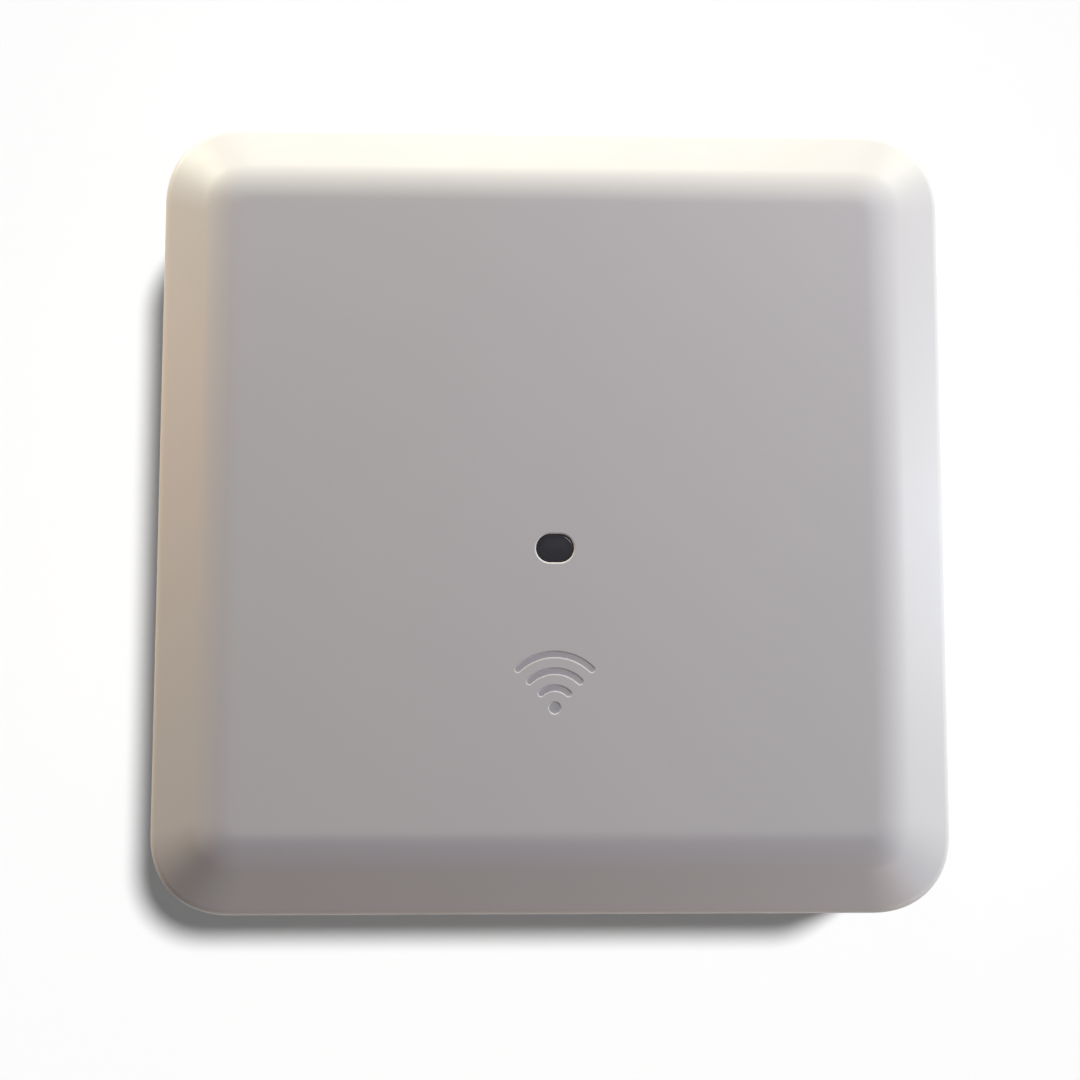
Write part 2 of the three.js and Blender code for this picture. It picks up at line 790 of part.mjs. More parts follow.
// A lead from an antenna's foot, through its hole in the tray, down to a push-fit plug on the board.
function leadSolid({ feed, hole, plug }) {
  const { radius, plugRadius, runZ, plugTopZ, slackZ } = LEAD;
  const between = (from, to, share, z) =>
    new THREE.Vector3(from[0] + (to[0] - from[0]) * share, from[1] + (to[1] - from[1]) * share, z);
  const path = new THREE.CatmullRomCurve3(
    [
      between(feed, hole, 0, runZ),
      between(feed, hole, 0.6, runZ),
      between(feed, hole, 1, TRAY.bottomZ),
      between(hole, plug, 0.3, slackZ),
      between(hole, plug, 0.8, plugTopZ + 1.2),
      between(hole, plug, 1, plugTopZ),
    ],
    false,
    "centripetal",
  );
  const section = new THREE.Shape();
  section.absarc(0, 0, radius, 0, 2 * Math.PI);
  const cable = new THREE.ExtrudeGeometry(section, {
    steps: 13,
    curveSegments: 4,
    extrudePath: path,
    bevelEnabled: false,
  });
  return joined(solidOf(cable), rod(...plug, BOARD_TOP + REST, plugTopZ + 0.2, plugRadius, 10));
}

function traySolid() {
  const { half, radius, bottomZ, rim, thickness } = TRAY;
  const pan = cut(
    prism(roundedSquare(half, radius), bottomZ - rim, TRAY_TOP),
    prism(roundedSquare(half - thickness, radius - thickness), bottomZ - rim - PAST, bottomZ),
  );
  const z = [bottomZ - PAST, TRAY_TOP + PAST];
  const screwHoles = TRAY_SCREWS.map(([x, y]) => rod(x, y, ...z, SCREW_HOLE, 12));
  const leadHoles = leads.map(({ hole }) => rod(...hole, ...z, LEAD.holeRadius, 12));
  const pipeHole = rod(LENS.x, LENS.y, ...z, PIPE.collar - 1.6, 16);
  return cut(pan, pipeHole, ...screwHoles, ...leadHoles);
}

// ---------------------------------------------------------------- fasteners
// A pan-head screw with its head's seat at z = 0, its shank going down and a six-sided socket.
function screwSolid({ headRadius, headHeight, shankRadius, length }) {
  const body = turned([
    [0, -length],
    [shankRadius, -length],
    [shankRadius, 0],
    [headRadius, 0],
    [headRadius, headHeight * 0.45],
    [headRadius * 0.75, headHeight],
    [0, headHeight],
  ]);
  const socket = rod(0, 0, headHeight * 0.35, headHeight + PAST, headRadius * 0.45, 6);
  return cut(body, socket);
}

// A shoulder stud: a wide head towards the ceiling, a neck for the bracket's slot and a shank in the base.
function studSolid() {
  const { headRadius, neckRadius, shankRadius, headZ, neckZ, topZ, chamfer } = STUD;
  const seatZ = BASE.bottomZ - REST;
  const body = turned(
    [
      [0, headZ],
      [headRadius - chamfer, headZ],
      [headRadius, headZ + chamfer],
      [headRadius, neckZ],
      [neckRadius, neckZ],
      [neckRadius, seatZ],
      [shankRadius, seatZ],
      [shankRadius, topZ],
      [0, topZ],
    ],
    14,
  );
  const socket = { radius: 2, depth: 1.4 };
  return cut(body, rod(0, 0, headZ - PAST, headZ + socket.depth, socket.radius, 6));
}

function rivetSolid() {
  const { headRadius, bottomZ, headTopZ, radius, tailRadius, tail } = RIVET;
  const tailZ = [PLATE_TOP + REST, PLATE_TOP + tail];
  return turned(
    [
      [0, bottomZ],
      [headRadius - GAP, bottomZ],
      [headRadius, headTopZ],
      [radius, headTopZ],
      [radius, tailZ[0]],
      [tailRadius, tailZ[0]],
      [tailRadius - tail, tailZ[1]],
      [0, tailZ[1]],
    ],
    12,
  );
}

// ---------------------------------------------------------------- bracket
// A keyhole whose slot holds the stud at rest and whose round end lets its head out.
function keyhole(x, y) {
  const z = [PLATE.bottomZ - PAST, PLATE_TOP + PAST];
  const slotHalf = STUD.neckRadius + GAP;
  return joined(
    rod(x, y - SLIDE_TRAVEL, ...z, STUD.headRadius + 2 * GAP, 20),
    box([x - slotHalf, x + slotHalf], [y - SLIDE_TRAVEL, y], z),
    rod(x, y, ...z, slotHalf, 16),
  );
}

function bracketSolid() {
  const { half, thickness: t, halfLength, footWidth } = PLATE;
  const edge = half + footWidth;
  const hat = polygon([
    [-edge, 0],
    [-half, 0],
    [-half, PLATE.bottomZ],
    [half, PLATE.bottomZ],
    [half, 0],
    [edge, 0],
    [edge, t],
    [half + t, t],
    [half + t, PLATE_TOP],
    [-half - t, PLATE_TOP],
    [-half - t, t],
    [-edge, t],
  ]);
  const z = [PLATE.bottomZ - PAST, PLATE_TOP + PAST];
  const ear = box(
    [LOCK_EAR.x - LOCK_EAR.halfWidth, LOCK_EAR.x + LOCK_EAR.halfWidth],
    [LOCK_EAR.endY, -halfLength + PAST],
    [PLATE.bottomZ, PLATE_TOP],
  );
  const ceilingHoles = fourCorners(1).map(([sx, sy]) =>
    rod(sx * CEILING_SCREW.x, sy * CEILING_SCREW.y, -PAST, t + PAST, CEILING_SCREW.radius, 14),
  );
  const boxSlots = [-1, 1].map((side) =>
    prism(stadium(side * BOX_SLOT.x, 0, BOX_SLOT.width, BOX_SLOT.length), ...z, 4),
  );
  const rivetHoles = [-1, 1].map((side) =>
    rod(side * LEAF.rivetX, LEAF.rivetY, ...z, RIVET.radius + GAP, 12),
  );
  return cut(
    joined(prismAlongY(hat, -halfLength, halfLength), ear),
    rod(0, 0, ...z, CABLE_HOLE_RADIUS, 28),
    box([-CABLE_SLOT_HALF, CABLE_SLOT_HALF], [0, halfLength + PAST], z),
    rod(LOCK_EAR.x, LOCK_EAR.holeY, ...z, LOCK_EAR.holeRadius),
    ...fourCorners(STUD_AT).map(([x, y]) => keyhole(x, y)),
    ...ceilingHoles,
    ...boxSlots,
    ...rivetHoles,
  );
}

// The detent leaf: a flat spring under the plate whose ramped nose rises into the base's pocket.
function leafSolid() {
  const { thickness, halfWidth, rootY, tipY, topZ, noseZ, crestY, tipTopZ, holeRadius } = LEAF;
  const bottom = topZ - thickness;
  const heelY = crestY[0] - 0.6;
  const body = prismAlongX(
    polygon([
      [rootY, bottom],
      [tipY, bottom],
      [tipY, tipTopZ],
      [crestY[1], noseZ],
      [crestY[0], noseZ],
      [heelY, topZ],
      [rootY, topZ],
    ]),
    -halfWidth,
    halfWidth,
  );
  const hollow = prismAlongX(
    polygon([
      [tipY - thickness, bottom - PAST],
      [tipY - thickness, tipTopZ - thickness],
      [crestY[1], noseZ - thickness],
      [heelY + thickness, bottom - PAST],
    ]),
    -halfWidth - PAST,
    halfWidth + PAST,
  );
  const holes = [-1, 1].map((side) =>
    rod(side * LEAF.rivetX, LEAF.rivetY, bottom - PAST, topZ + PAST, holeRadius, 12),
  );
  return cut(body, hollow, ...holes);
}

function labelSolid() {
  const top = BASE.bottomZ - REST;
  return prism(roundedRectangle(...LABEL.x, ...LABEL.y, LABEL.radius), top - LABEL.thickness, top, 3);
}

// ---------------------------------------------------------------- materials
const material = (color, roughness, metalness = 0) =>
  new THREE.MeshStandardMaterial({ color, roughness, metalness });
const MATERIALS = {
  coverPlastic: material(0xe4e4e6, 0.5),
  smokedLens: material(0x343539, 0.12),
  clearAcrylic: material(0xdfe8ea, 0.08),
  castMetal: material(0x9b9da1, 0.5, 0.7),
  zincSteel: material(0xb4b7ba, 0.35, 1),
  springSteel: material(0x8d9196, 0.3, 1),
  screwSteel: material(0xa5a8ab, 0.3, 1),
  tinPlate: material(0xc6c8c9, 0.28, 1),
  circuitBoard: material(0x1f4d35, 0.45),
  foam: material(0x2b2b2d, 0.9),
  thermalPad: material(0x8fa3b8, 0.8),
  jackPlastic: material(0x1b1b1d, 0.4),
  darkPlastic: material(0x2a2a2c, 0.45),
  ferrite: material(0x3a3836, 0.6),
  capacitorSleeve: material(0x24262b, 0.35),
  coax: material(0x2c2c2e, 0.4),
  labelFilm: material(0xdedfe0, 0.45),
  lamp: material(0xf2efe2, 0.3),
};

// ---------------------------------------------------------------- assembly
const accessPoint = new THREE.Group();

function part(name, solid, surface, parent = accessPoint) {
  const mesh = new THREE.Mesh(geometryOf(solid), surface);
  mesh.name = name;
  parent.add(mesh);
  return mesh;
}

// One named copy of a piece at each place, in a group of its own.
function copies(name, solid, surface, places) {
  const set = new THREE.Group();
  places.forEach(({ x, y, z = 0, turn = 0, flip = false }, i) => {
    const mesh = part(`${name}_${i + 1}`, solid, surface, set);
    mesh.position.set(x, y, z);
    mesh.rotation.set(flip ? Math.PI : 0, 0, THREE.MathUtils.degToRad(turn));
  });
  accessPoint.add(set);
}

const places = (points, z, flip = false) => points.map(([x, y]) => ({ x, y, z, flip }));

part("front_cover", coverSolid(), MATERIALS.coverPlastic);
part("status_lens", lensSolid(), MATERIALS.smokedLens);
part("light_pipe", lightPipeSolid(), MATERIALS.clearAcrylic).position.set(LENS.x, LENS.y, 0);
part("cover_seal", squareRing(SEAL), MATERIALS.foam);
part("base_casting", baseSolid(), MATERIALS.castMetal);
part("rating_label", labelSolid(), MATERIALS.labelFilm);

part("main_board", boardSolid(), MATERIALS.circuitBoard);
part("status_lamp", statusLampSolid(), MATERIALS.lamp);
for (const [spot, place] of Object.entries(HOT_SPOTS)) {
  part(`${spot}_shield`, shieldSolid(place), MATERIALS.tinPlate);
  part(`${spot}_thermal_pad`, thermalPadSolid(place), MATERIALS.thermalPad);
}
part("poe_jack", modularJackSolid(PORT_X.poe), MATERIALS.jackPlastic);
part("aux_jack", modularJackSolid(PORT_X.aux), MATERIALS.jackPlastic);
part("console_jack", modularJackSolid(PORT_X.console), MATERIALS.jackPlastic);
part("usb_socket", usbSocketSolid(), MATERIALS.tinPlate);
part("dc_power_socket", dcSocketSolid(), MATERIALS.jackPlastic);
part("mode_switch", modeSwitchSolid(), MATERIALS.darkPlastic);
part("mode_button", modeButtonSolid(), MATERIALS.darkPlastic);
part("poe_transformer", transformerSolid(), MATERIALS.ferrite);
part("filter_capacitor", capacitorSolid(), MATERIALS.capacitorSleeve).position.set(
  CAPACITOR.x,
  CAPACITOR.y,
  0,
);

part("antenna_tray", traySolid(), MATERIALS.tinPlate);
const onTray = (list) => list.map((place) => ({ ...place, z: TRAY_TOP + REST }));
copies("dual_band_antenna", antennaSolid(DUAL_BAND), MATERIALS.tinPlate, onTray(dualBandPlaces));
copies("high_band_antenna", antennaSolid(HIGH_BAND), MATERIALS.tinPlate, onTray(highBandPlaces));
leads.forEach((lead, i) => part(`antenna_lead_${i + 1}`, leadSolid(lead), MATERIALS.coax));

const smallScrew = screwSolid(SMALL_SCREW);
copies("board_screw", smallScrew, MATERIALS.screwSteel, places(BOARD_SCREWS, BOARD_TOP + REST));
copies("tray_screw", smallScrew, MATERIALS.screwSteel, places(TRAY_SCREWS, TRAY_TOP + REST));
const coverScrewPlaces = places(fourCorners(BOSS.at), BASE.flangeZ - REST, true);
copies("cover_screw", screwSolid(COVER_SCREW), MATERIALS.screwSteel, coverScrewPlaces);

copies("mount_stud", studSolid(), MATERIALS.screwSteel, places(fourCorners(STUD_AT), 0));
part("mounting_bracket", bracketSolid(), MATERIALS.zincSteel);
part("detent_leaf", leafSolid(), MATERIALS.springSteel);
const rivetPoints = [-1, 1].map((side) => [side * LEAF.rivetX, LEAF.rivetY]);
copies("leaf_rivet", rivetSolid(), MATERIALS.screwSteel, places(rivetPoints, 0));

export default accessPoint;
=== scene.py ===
"""The looks of the ceiling access point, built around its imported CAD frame. Sizes are in millimetres."""

import json
import math

import bmesh
import bpy
from mathutils import Matrix, Vector


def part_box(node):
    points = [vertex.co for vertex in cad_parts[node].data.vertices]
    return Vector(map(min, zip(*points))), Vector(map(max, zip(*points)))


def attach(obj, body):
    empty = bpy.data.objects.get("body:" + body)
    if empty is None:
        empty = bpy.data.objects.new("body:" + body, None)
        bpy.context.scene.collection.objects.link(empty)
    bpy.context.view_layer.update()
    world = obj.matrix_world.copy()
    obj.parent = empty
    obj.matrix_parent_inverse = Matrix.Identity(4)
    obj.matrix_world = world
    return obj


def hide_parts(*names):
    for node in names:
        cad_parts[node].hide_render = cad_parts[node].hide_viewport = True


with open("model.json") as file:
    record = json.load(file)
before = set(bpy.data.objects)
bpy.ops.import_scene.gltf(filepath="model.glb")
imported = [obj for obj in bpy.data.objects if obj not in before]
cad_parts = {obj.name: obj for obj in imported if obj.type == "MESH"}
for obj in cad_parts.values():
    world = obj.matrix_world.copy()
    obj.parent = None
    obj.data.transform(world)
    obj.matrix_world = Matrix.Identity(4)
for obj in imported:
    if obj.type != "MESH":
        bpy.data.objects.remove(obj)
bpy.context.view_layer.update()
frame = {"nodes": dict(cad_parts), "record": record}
NODES = frame["nodes"]
MM = 0.001
CORNERS = [(1, 1), (-1, 1), (-1, -1), (1, -1)]
BODY = "access_point"
BRACKET = "mounting_bracket"


# ---------------------------------------------------------------- frame measures
def box_mm(node):
    """A CAD node's lowest and highest corners, in millimetres."""
    low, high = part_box(node)
    return low / MM, high / MM


def middle_mm(node):
    low, high = box_mm(node)
    return (low + high) / 2


COVER_LOW, COVER_HIGH = box_mm("front_cover")
HALF = COVER_HIGH.x
RIM_Z = COVER_LOW.z
FACE_Z = COVER_HIGH.z
LENS_LOW, LENS_HIGH = box_mm("status_lens")
LENS_AT = middle_mm("status_lens")


# ---------------------------------------------------------------- mesh making
def link(name, mesh):
    piece = bpy.data.objects.new(name, mesh)
    bpy.context.scene.collection.objects.link(piece)
    return piece


def body_of_faces(name, points, faces):
    """A mesh object from points in millimetres, with every face turned outwards."""
    mesh = bpy.data.meshes.new(name)
    mesh.from_pydata([Vector(p) * MM for p in points], [], faces)
    shape = bmesh.new()
    shape.from_mesh(mesh)
    bmesh.ops.recalc_face_normals(shape, faces=shape.faces)
    shape.to_mesh(mesh)
    shape.free()
    return link(name, mesh)


def loft(name, rings, capped=True):
    """A body through rings that have equally many points, closed by a cap at each end."""
    count = len(rings[0])
    points = [p for ring in rings for p in ring]
    faces = []
    for start in range(0, count * (len(rings) - 1), count):
        for i in range(count):
            a = start + i
            b = start + (i + 1) % count
            faces.append((a, b, b + count, a + count))
    if capped:
        faces.append(tuple(reversed(range(count))))
        faces.append(tuple(range(len(points) - count, len(points))))
    return body_of_faces(name, points, faces)


def apply_modifiers(piece):
    graph = bpy.context.evaluated_depsgraph_get()
    result = bpy.data.meshes.new_from_object(piece.evaluated_get(graph))
    piece.modifiers.clear()
    piece.data = result


def combine(piece, others, operation):
    """Joins other bodies to a piece, or cuts them out of it."""
    for other in others:
        step = piece.modifiers.new(operation, "BOOLEAN")
        step.operation = operation
        step.solver = "EXACT"
        step.object = other
        apply_modifiers(piece)
        bpy.data.objects.remove(other)


def shade_by_area(piece):
    """Smooth shading in which the largest faces look flat."""
    piece.data.shade_smooth()
    normals = piece.modifiers.new("normals", "WEIGHTED_NORMAL")
    normals.weight = 80
    return normals


def smooth(piece, angle=32):
    """Smooth shading that keeps edges sharper than the angle, and flat faces flat."""
    shade_by_area(piece).keep_sharp = True
    piece.data.set_sharp_from_angle(angle=math.radians(angle))


def arc(centre, radius, start, end, steps):
    """Points on an arc, both ends included, angles in degrees."""
    angles = [math.radians(start + (end - start) * i / steps) for i in range(steps + 1)]
    return [(centre[0] + radius * math.cos(a), centre[1] + radius * math.sin(a)) for a in angles]


def rounded_rectangle(centre, half_x, half_y, radius, steps):
    """A plan outline, counter-clockwise, as (x, y) points."""
    x, y = centre
    reach_x = half_x - radius
    reach_y = half_y - radius
    outline = []
    for quarter, (sx, sy) in enumerate(CORNERS):
        corner = (x + sx * reach_x, y + sy * reach_y)
        outline += arc(corner, radius, quarter * 90, quarter * 90 + 90, steps)
    return outline


def at_height(outline, z):
    return [(x, y, z) for x, y in outline]


def slab(name, sections):
    """A body through plan outlines, given as (outline, z) pairs."""
    return loft(name, [at_height(outline, z) for outline, z in sections])


def turned(name, profile, at, sides=40, upside_down=False):
    """A body turned about a vertical axis, from (radius, height) pairs."""
    angles = [2 * math.pi * i / sides for i in range(sides)]
    rings = []
    for radius, height in profile:
        z = at[2] - height if upside_down else at[2] + height
        rings.append([(at[0] + radius * math.cos(a), at[1] + radius * math.sin(a), z) for a in angles])
    return loft(name, rings)


def settle(piece, body, material, stands_for=()):
    """Gives a new piece its material and its body, and hides the CAD nodes that it stands for."""
    piece.data.materials.clear()
    piece.data.materials.append(material)
    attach(piece, body)
    if stands_for:
        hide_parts(*stands_for)


# ---------------------------------------------------------------- materials
# A mix node has sockets for every kind of data. These are the places of the ones for colours.
MIX_COLORS = (6, 7)
MIX_RESULT = 2


class Shader:
    """A material's node tree, made by short calls."""

    def __init__(self, name):
        self.material = bpy.data.materials.new(name)
        self.material.use_nodes = True
        self.tree = self.material.node_tree
        self.surface = self.tree.nodes["Principled BSDF"]
        self.place = self.node("ShaderNodeTexCoord").outputs["Object"]

    def node(self, kind, **settings):
        made = self.tree.nodes.new(kind)
        for key, value in settings.items():
            setattr(made, key, value)
        return made

    def wire(self, source, target):
        self.tree.links.new(source, target)

    def set(self, **values):
        for key, value in values.items():
            self.surface.inputs[key.replace("_", " ")].default_value = value

    def stretched(self, scale):
        """The object's coordinates, scaled differently along each axis."""
        mapping = self.node("ShaderNodeMapping")
        mapping.inputs["Scale"].default_value = scale
        self.wire(self.place, mapping.inputs["Vector"])
        return mapping.outputs["Vector"]

    def noise(self, size, detail=3.0, place=None, roughness=0.5):
        """Noise whose blobs are about that many millimetres across."""
        made = self.node("ShaderNodeTexNoise")
        made.inputs["Scale"].default_value = 1 / (size * MM)
        made.inputs["Detail"].default_value = detail
        made.inputs["Roughness"].default_value = roughness
        self.wire(place or self.place, made.inputs["Vector"])
        return made.outputs["Fac"]

    def spread(self, value, low, high, from_low=0.3, from_high=0.7):
        """Maps a value to a range. Most of a noise lies between 0.3 and 0.7."""
        made = self.node("ShaderNodeMapRange")
        made.inputs["From Min"].default_value = from_low
        made.inputs["From Max"].default_value = from_high
        made.inputs["To Min"].default_value = low
        made.inputs["To Max"].default_value = high
        self.wire(value, made.inputs["Value"])
        return made.outputs["Result"]

    def blend(self, factor, first, second):
        """A colour between two colours or colour outputs."""
        made = self.node("ShaderNodeMix", data_type="RGBA")
        self.wire(factor, made.inputs["Factor"])
        for value, number in zip((first, second), MIX_COLORS):
            if isinstance(value, bpy.types.NodeSocket):
                self.wire(value, made.inputs[number])
            else:
                made.inputs[number].default_value = (*value, 1.0)
        return made.outputs[MIX_RESULT]

    def edges(self, radius):
        """How close a point is to a convex or concave edge, from 0 to 1."""
        rounded = self.node("ShaderNodeBevel", samples=4)
        rounded.inputs["Radius"].default_value = radius * MM
        plain = self.node("ShaderNodeNewGeometry")
        dot = self.node("ShaderNodeVectorMath", operation="DOT_PRODUCT")
        self.wire(rounded.outputs["Normal"], dot.inputs[0])
        self.wire(plain.outputs["Normal"], dot.inputs[1])
        return self.spread(dot.outputs["Value"], 1.0, 0.0, from_low=0.7, from_high=0.98)

    def color(self, output):
        self.wire(output, self.surface.inputs["Base Color"])

    def roughness(self, output):
        self.wire(output, self.surface.inputs["Roughness"])

    def bump(self, height, depth):
        """Relief of that depth in millimetres, over any bump made before it."""
        made = self.node("ShaderNodeBump")
        made.inputs["Distance"].default_value = depth * MM
        self.wire(height, made.inputs["Height"])
        before = self.surface.inputs["Normal"].links
        if before:
            self.wire(before[0].from_socket, made.inputs["Normal"])
        self.wire(made.outputs["Normal"], self.surface.inputs["Normal"])


def shade(color, factor):
    return tuple(min(1.0, c * factor) for c in color)


def moulded(name, color, roughness, grain=0.45, depth=0.012, mottle=0.025, **sockets):
    """Moulded plastic: spark-eroded grain, slight flow marks and uneven gloss.

    Grain and depth are in millimetres, and mottle is the share by which the colour varies."""
    made = Shader(name)
    made.set(**sockets)
    flow = made.noise(size=45, detail=2)
    made.color(made.blend(flow, shade(color, 1 - mottle), shade(color, 1 + mottle)))
    made.roughness(made.spread(made.noise(size=9), roughness - 0.04, roughness + 0.05))
    made.bump(made.noise(grain, detail=4, roughness=0.6), depth)
    made.bump(made.noise(size=18, detail=1), depth * 2)
    return made.material


def metal(name, color, roughness, grain=0.5, depth=0.02, brushed=None, wear=0.5, **sockets):
    """Bare or plated metal: grain or brush lines, tarnish in blotches and brighter edges.

    Brushed scales the grain's coordinates, so that a small number draws the grain out along that axis.
    Wear is how much brighter the edges are."""
    made = Shader(name)
    made.set(Metallic=1.0, **sockets)
    blotches = made.spread(made.noise(size=22), 0.0, 1.0)
    base = made.blend(blotches, shade(color, 0.95), shade(color, 1.04))
    if wear:
        base = made.blend(made.edges(radius=0.5), base, shade(color, 1 + wear))
    made.color(base)
    made.roughness(made.spread(made.noise(size=3), roughness - 0.03, roughness + 0.05))
    place = made.stretched(brushed) if brushed else None
    made.bump(made.noise(grain, detail=4, place=place), depth)
    return made.material


def cover_plastic():
    """The cover's satin white plastic, with specks of dust, a fine grain and barely any waves."""
    made = Shader("cover plastic")
    made.set(IOR=1.49)
    flow = made.noise(size=60, detail=2)
    color = made.blend(flow, (0.775, 0.775, 0.78), (0.80, 0.80, 0.80))
    dust = made.spread(made.noise(size=1.1, detail=2), 0.0, 0.25, from_low=0.68, from_high=0.8)
    made.color(made.blend(dust, color, (0.70, 0.69, 0.68)))
    made.roughness(made.spread(made.noise(size=12), 0.43, 0.48))
    made.bump(made.noise(size=0.35, detail=4, roughness=0.65), depth=0.010)
    made.bump(made.noise(size=26, detail=1), depth=0.004)
    return made.material


def zinc_sheet():
    """Zinc-plated steel sheet, with the faint crystal pattern of its coating."""
    made = Shader("zinc sheet")
    made.set(Metallic=1.0)
    crystal_size = 4.5
    crystals = made.node("ShaderNodeTexVoronoi", feature="F1")
    crystals.inputs["Scale"].default_value = 1 / (crystal_size * MM)
    made.wire(made.place, crystals.inputs["Vector"])
    grey = made.node("ShaderNodeRGBToBW")
    made.wire(crystals.outputs["Color"], grey.inputs["Color"])
    tone = made.spread(grey.outputs["Val"], 0.0, 1.0, from_low=0.2, from_high=0.8)
    base = made.blend(tone, (0.47, 0.48, 0.50), (0.56, 0.57, 0.58))
    made.color(made.blend(made.edges(radius=0.4), base, (0.80, 0.80, 0.80)))
    made.roughness(made.spread(tone, 0.34, 0.46, from_low=0.0, from_high=1.0))
    made.bump(made.noise(size=0.6, detail=4), depth=0.008)
    return made.material


def circuit_board():
    """Solder mask over copper: straight tracks raise it, and it is lighter over them."""
    made = Shader("circuit board")
    made.set(Coat_Weight=0.4, Coat_Roughness=0.15)
    track_pitch = 6
    tracks = made.node("ShaderNodeTexBrick")
    tracks.inputs["Scale"].default_value = 1 / (track_pitch * MM)
    tracks.inputs["Mortar Size"].default_value = 0.035
    tracks.inputs["Color1"].default_value = (0, 0, 0, 1)
    tracks.inputs["Color2"].default_value = (0, 0, 0, 1)
    tracks.inputs["Mortar"].default_value = (1, 1, 1, 1)
    made.wire(made.place, tracks.inputs["Vector"])
    weave = made.spread(made.noise(size=3, detail=5), 0.0, 1.0)
    base = made.blend(weave, (0.012, 0.075, 0.035), (0.018, 0.10, 0.048))
    made.color(made.blend(tracks.outputs["Color"], base, (0.05, 0.20, 0.09)))
    made.roughness(made.spread(made.noise(size=8), 0.32, 0.45))
    made.bump(tracks.outputs["Color"], depth=0.03)
    return made.material


def clear_acrylic():
    """The light pipe's moulded acrylic."""
    made = Shader("clear acrylic")
    made.set(Transmission_Weight=0.92, IOR=1.49)
    made.color(made.blend(made.noise(size=10), (0.88, 0.92, 0.93), (0.95, 0.97, 0.97)))
    made.roughness(made.spread(made.noise(size=2), 0.05, 0.12))
    made.bump(made.noise(size=4, detail=1), depth=0.02)
    return made.material


def smoked_window():
    """The status window's glossy dark plastic."""
    made = Shader("smoked window")
    made.set(IOR=1.49, Coat_Weight=0.3, Coat_Roughness=0.1)
    made.color(made.blend(made.noise(size=5), (0.058, 0.061, 0.070), (0.068, 0.071, 0.081)))
    made.roughness(made.spread(made.noise(size=2), 0.18, 0.28))
    made.bump(made.noise(size=0.5), depth=0.003)
    return made.material


def foam(name, color):
    """Fine-celled foam rubber."""
    made = Shader(name)
    made.set(Sheen_Weight=0.2)
    made.color(made.blend(made.noise(size=0.5, detail=5), shade(color, 0.6), shade(color, 1.3)))
    made.roughness(made.spread(made.noise(size=1), 0.8, 0.95))
    made.bump(made.noise(size=0.35, detail=5), depth=0.12)
    return made.material


MATERIALS = {
    "cover_plastic": cover_plastic(),
    "lens_plastic": smoked_window(),
    "clear_acrylic": clear_acrylic(),
    "gasket_foam": foam("gasket foam", (0.03, 0.03, 0.032)),
    "cast_aluminium": metal("cast aluminium", (0.42, 0.425, 0.435), 0.5, grain=0.7, depth=0.05),
    "zinc_steel": zinc_sheet(),
    "spring_steel": metal("spring steel", (0.36, 0.37, 0.39), 0.3, brushed=(1, 0.05, 1), depth=0.008),
    "screw_steel": metal("screw steel", (0.52, 0.53, 0.54), 0.28, grain=0.3, depth=0.006, wear=0.3),
    "tin_plate": metal("tin plate", (0.64, 0.64, 0.63), 0.34, brushed=(0.06, 1, 1), depth=0.006),
    "circuit_board": circuit_board(),
    "thermal_pad": foam("thermal pad", (0.33, 0.42, 0.52)),
    "jack_plastic": moulded("jack plastic", (0.018, 0.018, 0.02), 0.42, grain=0.3, mottle=0.15),
    "dark_plastic": moulded("dark plastic", (0.035, 0.035, 0.037), 0.48, grain=0.25, mottle=0.15),
    "ferrite": moulded("ferrite", (0.045, 0.042, 0.04), 0.6, grain=0.6, depth=0.05, mottle=0.3),
    "capacitor_sleeve": moulded("capacitor sleeve", (0.02, 0.023, 0.032), 0.3, mottle=0.1),
    "coax_jacket": moulded("coax jacket", (0.025, 0.025, 0.027), 0.4, grain=0.2, mottle=0.2),
    "label_film": moulded("label film", (0.72, 0.72, 0.71), 0.35, grain=0.8, depth=0.004),
    "lamp_lens": moulded("lamp lens", (0.85, 0.83, 0.74), 0.25, Transmission_Weight=0.3),
}
GOLD = metal("gold plating", (0.95, 0.66, 0.28), 0.22, grain=0.2, depth=0.002, wear=0)


# ---------------------------------------------------------------- cover
# Insets are measured in from the rim. A corner's radius shrinks by radius_loss per millimetre of inset.
SHELL = {
    "wall": 2.5,
    "rim_radius": 22.0,
    "radius_loss": 0.76,
    "face_inset": 26.0,
    "flat_inset": 27.5,
    "face_radius": 22.0,
    "face_steps": 12,
    "slope": math.radians(28),
    "shoulder_radius": 4.0,
    "shoulder_steps": 8,
    "draft": math.radians(8),
    "corner_steps": 20,
    "edge": 0.5,
}
BOSS = {"foot_radius": 3.6, "foot": 0.4, "radius": 4.0, "top": 51.5, "gap": 0.1}
PILOT = {"radius": 1.7, "below": 1.0, "top": 48.0, "sides": 24}
WINDOW = {"lip": 1.6, "fillet": 0.5, "fillet_steps": 6, "hole_depth": 8.0}
LENS = {
    "gap": 0.15,
    "chamfer": 0.2,
    "edge": 0.5,
    "edge_steps": 5,
    "dome_rise": 0.15,
    "dome_steps": 5,
    "step_in": 0.55,
}
SCREW_AT = middle_mm("cover_screw_4")


